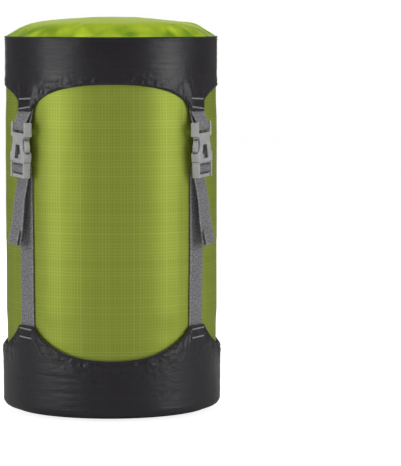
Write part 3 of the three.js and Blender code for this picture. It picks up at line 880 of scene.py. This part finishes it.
def make_crown():
    """The lid's crown, a round of nylon gathered into the rim."""
    dome_r = np.array([104.9, 104.6, 103.2, 101.5, 99, 95.9, 91, 84.9, 79, 72.9, 62, 51.9, 38, 25, 12, 1.2])
    dome_z = np.array([0, 0.7, 1.6, 2.5, 4.1, 6, 9.1, 11.8, 13.5, 14.7, 16.1, 17, 18.2, 19.1, 19.6, 19.8])
    t = np.linspace(0, len(dome_r) - 1, 62)
    outer_r = np.interp(t, np.arange(len(dome_r)), dome_r)[:, None]
    outer_z = np.interp(t, np.arange(len(dome_r)), dome_z)[:, None]
    turn = whole_turn(480)[None, :]
    near_rim = smoothstep(outer_r, 66, 95) * smoothstep(outer_r, 104.9, 101.5)
    strong = 0.35 + 0.65 * smoothstep(ring_lumps(53, 42, turn), -0.3, 0.5)
    slant = turn + 0.12 * (1 - outer_r / 105) * ring_lumps(55, 30, turn)
    sharp = 0.5 - 1.6 * np.abs(ring_lumps(51, 11, slant))
    gathers = (sharp + 0.7 * ring_lumps(52, 15, slant)) * strong
    waves = lumps(54, 60, 22, turn, outer_r) * smoothstep(outer_r, 104, 86) * smoothstep(outer_r, 0, 34)
    height = RIM + outer_z + 2.5 * gathers * near_rim + 0.55 * waves
    skirt = around_sack(np.array([[103.8], [104.9]]), turn, np.array([[RIM - 5], [RIM - 5]]))
    outer = around_sack(outer_r + 0 * turn, turn + 0 * outer_r, height)
    inner_t = np.linspace(0, 1, 14)
    inner_r = np.interp(inner_t * (len(dome_r) - 1), np.arange(len(dome_r)), dome_r)[::-1, None] - 1.1
    inner_r = np.maximum(inner_r, 0.8)
    inner_z = np.interp(inner_t * (len(dome_r) - 1), np.arange(len(dome_r)), dome_z)[::-1, None] - 3.4
    inner = around_sack(inner_r, turn, RIM + inner_z)
    rows = np.concatenate([inner, skirt, outer], 0)
    cloth = np.concatenate([rows, rows[:, :1]], 1)[..., :2]
    piece = loft("crown_cloth", rows, CROWN_NYLON, capped=True, cloth=cloth)
    keep(piece, "crown_nylon", "lid_crown", body="lid")


def make_end_panel():
    """The round bottom, with the cloth drawn up to its seam."""
    low = np.array([[1.2, 0.0], [30, 0.0], [60, 0.0], [74, 0.05], [80, 0.2], [86, 1.7], [91.8, 3.2],
                    [96.5, 4.6], [101, 6.0], [102.9, 7.4], [103.5, 8.8], [103.5, PANEL_TOP - 0.3]])
    high = np.array([[102.4, PANEL_TOP - 0.3], [102.1, 9.2], [99.8, 7.3], [90.8, 4.7], [80, 1.6],
                     [1.2, 1.4]])
    profile = np.vstack([low, high])
    turn = whole_turn(360)[None, :]
    tucks = ring_lumps(61, 10, turn)
    near_seam = np.exp(-(((profile[:, :1] - 90) / 5) ** 2))
    near_seam[len(low):] = 0
    rows = around_sack(profile[:, :1] + 0 * turn, turn, profile[:, 1:] + 0.4 * near_seam * (tucks + 1))
    cloth = np.concatenate([rows, rows[:, :1]], 1)[..., :2]
    piece = loft("end_panel_cloth", rows, BAND_NYLON, capped=True, cloth=cloth)
    keep(piece, "band_nylon", "base_end_panel", body="base")


def make_ring(name, radius, z, thick, material, slot, body, flat=1.0, seed=None):
    """A piping or welt: a closed round run of cloth, flat times as tall as it is thick."""
    angle = whole_turn(420)[:, None]
    turn = whole_turn(10)[None, :]
    ripple = 0 if seed is None else 0.12 * ring_lumps(seed, 6, angle)
    rows = around_sack(radius + ripple + thick * np.cos(turn), angle, z + flat * thick * np.sin(turn))
    girth = np.linspace(0, 2 * math.pi * thick, 11)
    length = np.linspace(0, 2 * math.pi * radius, 421)
    cloth = np.stack(np.broadcast_arrays(girth[None, :], length[:, None]), -1)
    return keep(loft(name, rows, material, around=True, cloth=cloth, sharp=70), slot, body=body)


def ring_stitches(name, radius, z, spacing, length, thick, material, body, slot):
    angle = whole_turn(round(2 * math.pi * radius / spacing))
    centres = around_sack(radius, angle, z)
    along = np.stack([np.cos(angle), np.sin(angle), 0 * angle], -1)
    outward = around_sack(1, angle, 0)
    return make_stitches(name, centres, along, outward, length, thick, material, body, slot)


def make_hem():
    """The mouth's hem: cloth turned over into a channel, puckered by its stitching."""
    angle = whole_turn(360)[:, None]
    turn = whole_turn(28)[None, :]
    puckers = 0.22 * ring_lumps(71, 6, angle)
    wide = (TUBE - HEM_INNER) / 2
    tall = (HEM_TOP - HEM_LOW) / 2
    out, up = boxy(np.cos(turn), 0.5), boxy(np.sin(turn), 0.5)
    radius = (TUBE + HEM_INNER) / 2 + out * (wide - 0.3) + puckers * (out - 0.3)
    rows = around_sack(radius, angle, (HEM_TOP + HEM_LOW) / 2 + up * tall + 0 * angle)
    girth = np.linspace(0, 4 * (wide + tall), 29)
    cloth = np.stack(np.broadcast_arrays(np.linspace(0, 660, 361)[:, None], girth[None, :]), -1)
    piece = loft("hem_cloth", rows, BAND_NYLON, around=True, cloth=cloth, sharp=60)
    keep(piece, "band_nylon", "mouth_hem", body="mouth")
    low = HEM_LOW + 1.6
    ring_stitches("hem_stitches", TUBE - 0.15, low, 3.2, 2.2, 0.16, GREEN_THREAD, "mouth", "band_nylon")


make_body_tube()
make_base_band()
make_lid_band()
make_binding("base_edge_tape", "base_binding", BASE_EDGE, BASE, "base", 1, 81)
LID_TAPE_R = LID_SKIN - 0.2 + lid_swell(LID_EDGE[0], LID_EDGE[1])
make_binding("lid_edge_tape", "lid_binding", LID_EDGE, LID_TAPE_R, "lid", -1, 84)
make_crown()
make_end_panel()
make_hem()
make_ring("rim_welt", LID_SKIN - 0.3, RIM - 0.1, 0.75, EDGE_TAPE, "edge_tape", "lid", seed=91)
make_ring("foot_piping", BASE - 12.6, 2.9, 0.7, EDGE_TAPE, "edge_tape", "base")
RIM_SEAM = RIM - 2.6
ring_stitches("rim_stitches", LID_SKIN + 0.55, RIM_SEAM, 3.0, 2.1, 0.16, DARK_THREAD, "lid", "band_nylon")


# ---- Webbing -----------------------------------------------------


def smooth_path(keys, step=1.3):
    """Points at even steps along a soft curve through the keys."""
    keys = np.asarray(keys, float)
    ends = np.vstack([2 * keys[0] - keys[1], keys, 2 * keys[-1] - keys[-2]])
    t = np.linspace(0, 1, 30, endpoint=False)[:, None]
    parts = []
    for a, b, c, d in zip(ends, ends[1:], ends[2:], ends[3:]):
        parts.append(0.5 * (2 * b + (c - a) * t + (2 * a - 5 * b + 4 * c - d) * t**2
                            + (3 * b - a - 3 * c + d) * t**3))
    fine = np.vstack(parts + [keys[-1:]])
    length = np.concatenate([[0], np.cumsum(np.linalg.norm(np.diff(fine, axis=0), axis=1))])
    even = np.linspace(0, length[-1], max(3, round(length[-1] / step)))
    return np.stack([np.interp(even, length, fine[:, k]) for k in range(fine.shape[1])], 1), even


def webbing_section():
    """Across and thickness offsets round one cut of webbing, rounded at both edges."""
    half, thin = WEB_WIDTH / 2, WEB_THICK / 2
    flat = np.linspace(-half + 0.5, half - 0.5, 9)
    bend = np.radians([70, 35, 0, -35, -70])
    right = np.stack([half - 0.5 + 0.5 * np.cos(bend), thin * np.sin(bend)], 1)
    top = np.stack([flat, 0 * flat + thin], 1)
    bottom = np.stack([flat[::-1], 0 * flat - thin], 1)
    left = np.stack([-half + 0.5 - 0.5 * np.cos(bend), -thin * np.sin(bend)], 1)
    return np.vstack([top, right, bottom, left])


def webbing(name, keys, place, lean=None, curl=None, twist=None):
    """Webbing along keys of (inward y, up z) in a strap's own frame.

    place turns that frame into the sack's. lean gives the share of the buckle's tilt and turn at each
    height, curl the hug round the sack there, and twist the turn about its own length at each distance.
    """
    path, length = smooth_path(keys)
    tangent = np.gradient(path, axis=0)
    tangent /= np.linalg.norm(tangent, axis=1, keepdims=True)
    normal = np.stack([-tangent[:, 1], tangent[:, 0]], 1)
    section = webbing_section()
    across, thick = section[:, 0][None, :], section[:, 1][None, :]
    wobble = 0.12 * np.sin(length / 17 + len(name))[:, None]
    turn = np.zeros(len(path)) if twist is None else twist(length)
    x = across * np.cos(turn)[:, None] + wobble
    off = thick + across * np.sin(turn)[:, None]
    y = path[:, :1] + normal[:, :1] * off
    z = path[:, 1:] + normal[:, 1:] * off
    if curl is not None:
        y = y + curl(path[:, 1])[:, None] * x**2
    if lean is not None:
        angle = TILT * lean(path[:, 1])[:, None]
        x, z = x * np.cos(angle) + z * np.sin(angle), z * np.cos(angle) - x * np.sin(angle)
        angle = -TURN * lean(path[:, 1])[:, None]
        x, y = x * np.cos(angle) - y * np.sin(angle), x * np.sin(angle) + y * np.cos(angle)
    rows = np.stack(np.broadcast_arrays(x, y, z), -1)
    ends = np.append(section[:, 0], section[0, 0])
    cloth = np.stack(np.broadcast_arrays(ends[None, :], length[:, None]), -1)
    rows = rows @ np.array(place.to_3x3()).T + np.array(place.translation)
    return loft(name, rows, GREY_WEBBING, capped=True, cloth=cloth, sharp=50)


def strap_frame(corner):
    return Matrix.Rotation(math.radians(CORNERS[corner][0]), 4, "Z")


def bar_frame(corner):
    """The frame of a corner's buckle bar: across, inward, up."""
    lean = CORNERS[corner][1]
    turn = Matrix.Rotation(-lean * TURN, 4, "Z")
    bar = Matrix.Translation((0, -BUCKLE_R, BAR_Z))
    return strap_frame(corner) @ bar @ turn @ Matrix.Rotation(lean * TILT, 4, "Y")


# Webbing routes, as (inward, up). A loop's and a tail's start from the buckle's webbing bar.
STRAP_KEYS = [(-STRAP_R, 74.5), (-STRAP_R, 90.5), (-STRAP_R, 130), (-STRAP_R, 180), (-STRAP_R, STRAP_BEND),
              (-106.25, 244.7), (-106.6, 246.8)]
LOOP_KEYS = [(6.6, 26.5), (6.6, 18.5), (4.9, 9.5), (3, 3.5), (2.55, 0.2), (1.8, -1.75), (0, -2.55),
             (-1.75, -1.8), (-2.4, 0.4), (-1.6, 4), (1.1, 10), (4.4, 15.6), (4.9, 18.8)]
TAIL_KEYS = [(2.6, -36.2), (0.5, -36.3), (-1.5, -36.8), (-2.5, -38.0), (-2.65, -39.7), (-2.4, -41.5),
             (-1.2, -43.2), (1.2, -43.35), (2.7, -44.4), (3.15, -46.4), (3.2, -49), (2.4, -55), (1.0, -63),
             (-0.4, -73), (-1.3, -86), (-2.8, -99), (-5.1, -112.2), (-5.6, -113.8), (-6.5, -113.9),
             (-6.8, -112.2), (-4.6, -100.5)]


def make_webbing(corner):
    lean = CORNERS[corner][1]
    drift = math.sin(lean * TILT) * -LADDER_DROP
    strap = webbing(
        "base_strap_cloth_" + corner,
        STRAP_KEYS,
        strap_frame(corner),
        curl=lambda z: (1 - smoothstep(z, 232, 243)) / (2 * STRAP_R),
    )
    points = np.empty(len(strap.data.vertices) * 3, np.float32)
    strap.data.vertices.foreach_get("co", points)
    points = points.reshape(-1, 3)
    sideways = np.array(strap_frame(corner).to_3x3())[:, 0]
    share = np.clip((points[:, 2] / MM - BASE_TAB) / (STRAP_BEND - BASE_TAB), 0, 1)
    strap.data.vertices.foreach_set("co", (points + sideways * (drift * share * MM)[:, None]).ravel())
    keep(strap, "webbing", "base_strap_" + corner)
    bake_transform(strap)

    loop = webbing(
        "top_loop_cloth_" + corner,
        LOOP_KEYS,
        strap_frame(corner) @ Matrix.Translation((0, -BUCKLE_R, BAR_Z)),
        lean=lambda z: lean * smoothstep(z, LID_TAB - BAR_Z, 0),
    )
    keep(loop, "webbing", "top_loop_" + corner, body="lid")

    tail = webbing(
        "tail_cloth_" + corner,
        TAIL_KEYS,
        bar_frame(corner),
        twist=lambda length: 0.09 * lean * smoothstep(length, 40, 85),
    )
    adjuster = "adjuster_" + corner
    keep(tail, "webbing", "strap_tail_" + corner, body=adjuster)
    bar_tack("tail_fold_stitches_" + corner, bar_frame(corner), (-7.0, -104.5), 15, adjuster, 1.2)


def bar_tack(name, place, at, width, body, tall=1.8, slope=0.0, radius=None):
    """A dense zigzag of pale thread across webbing. at is (inward y, up z) in the strap's frame."""
    count = 2 * round(width / 0.62) + 1
    x = np.linspace(-width / 2, width / 2, count)
    middle = (x[:-1] + x[1:]) / 2
    bow = 0 * middle if radius is None else middle**2 / (2 * radius)
    up = np.where(np.arange(count - 1) % 2, 1.0, -1.0)
    along = np.stack([np.diff(x), 0 * up, up * tall], 1)
    along /= np.linalg.norm(along, axis=1, keepdims=True)
    centres = np.stack([middle, at[0] + bow, at[1] + slope * middle], 1)
    outward = np.tile([0.0, -1.0, 0.0], (count - 1, 1))
    if radius is not None:
        outward[:, 0] = middle / radius
        outward /= np.linalg.norm(outward, axis=1, keepdims=True)
    turn = np.array(place.to_3x3()).T
    centres = centres @ turn + np.array(place.translation)
    make_stitches(name, centres, along @ turn, outward @ turn, tall, 0.27, PALE_THREAD, body, "webbing")


def make_tab_stitching(corner):
    lean = CORNERS[corner][1]
    for place, z, slope in (("upper", LID_TAB + 11.9, 0.05), ("lower", LID_TAB + 3.0, 0.13)):
        out = LID_SKIN + SWELL * (LID_TAB + SWELL_HEIGHT - z) / SWELL_HEIGHT
        bar_tack(f"lid_tack_{place}_{corner}", strap_frame(corner), (-out - 0.25, z), 18.5, "lid", 1.6,
                 slope * lean, LID)
    for place, z in (("upper", BASE_TAB - 3.1), ("lower", BASE_TAB - 11.5)):
        bar_tack(f"base_tack_{place}_{corner}", strap_frame(corner), (-BASE - 0.5, z), 18.5, "base", 1.6,
                 0.05 * -lean, BASE)


# ---- Buckles -----------------------------------------------------


def moulded_mesh(node):
    """One buckle part in the buckle's own frame, in mm, its edges rounded as a mould leaves them."""
    mesh = bpy.data.objects[node].data.copy()
    mesh.transform(Matrix.Scale(1 / MM, 4))
    mesh.transform(bar_frame("front_left").inverted())
    rough = bpy.data.objects.new("rough", mesh)
    world_scene.collection.objects.link(rough)
    skin = rough.modifiers.new("skin", "REMESH")
    skin.mode = "VOXEL"
    skin.voxel_size = 0.26
    soften = rough.modifiers.new("soften", "SMOOTH")
    soften.iterations = 5
    soften.factor = 0.5
    lighten = rough.modifiers.new("lighten", "DECIMATE")
    lighten.ratio = 0.22
    done = bpy.data.meshes.new_from_object(rough.evaluated_get(bpy.context.evaluated_depsgraph_get()))
    bpy.data.objects.remove(rough)
    return done


def place_moulding(name, shape, corner, node, body):
    mesh = shape.copy()
    mesh.name = name
    mesh.transform(bar_frame(corner))
    mesh.transform(Matrix.Scale(MM, 4))
    mesh.materials.clear()
    mesh.materials.append(GREY_MOULDING)
    mesh.shade_smooth()
    mesh.set_sharp_from_angle(angle=math.radians(60))
    piece = bpy.data.objects.new(name, mesh)
    world_scene.collection.objects.link(piece)
    keep(piece, "moulded_nylon", node, body=body)


# Each buckle part's node and the body it rides on, with a place for the corner's name.
BUCKLE_BODIES = {
    "female_buckle_{}": "lid",
    "male_buckle_{}": "adjuster_{}",
    "latch_arm_{}_a": "latch_{}_a",
    "latch_arm_{}_b": "latch_{}_b",
}
BUCKLE_SHAPES = {part: moulded_mesh(part.format("front_left")) for part in BUCKLE_BODIES}

for strap_corner in CORNERS:
    make_webbing(strap_corner)
    make_tab_stitching(strap_corner)
    for part, part_shape in BUCKLE_SHAPES.items():
        part_node = part.format(strap_corner)
        part_body = BUCKLE_BODIES[part].format(strap_corner)
        place_moulding(part_node + "_moulding", part_shape, strap_corner, part_node, part_body)

eyelet = bpy.data.objects["cord_eyelet"]
for material_slot in eyelet.material_slots:
    material_slot.material = EYELET_METAL
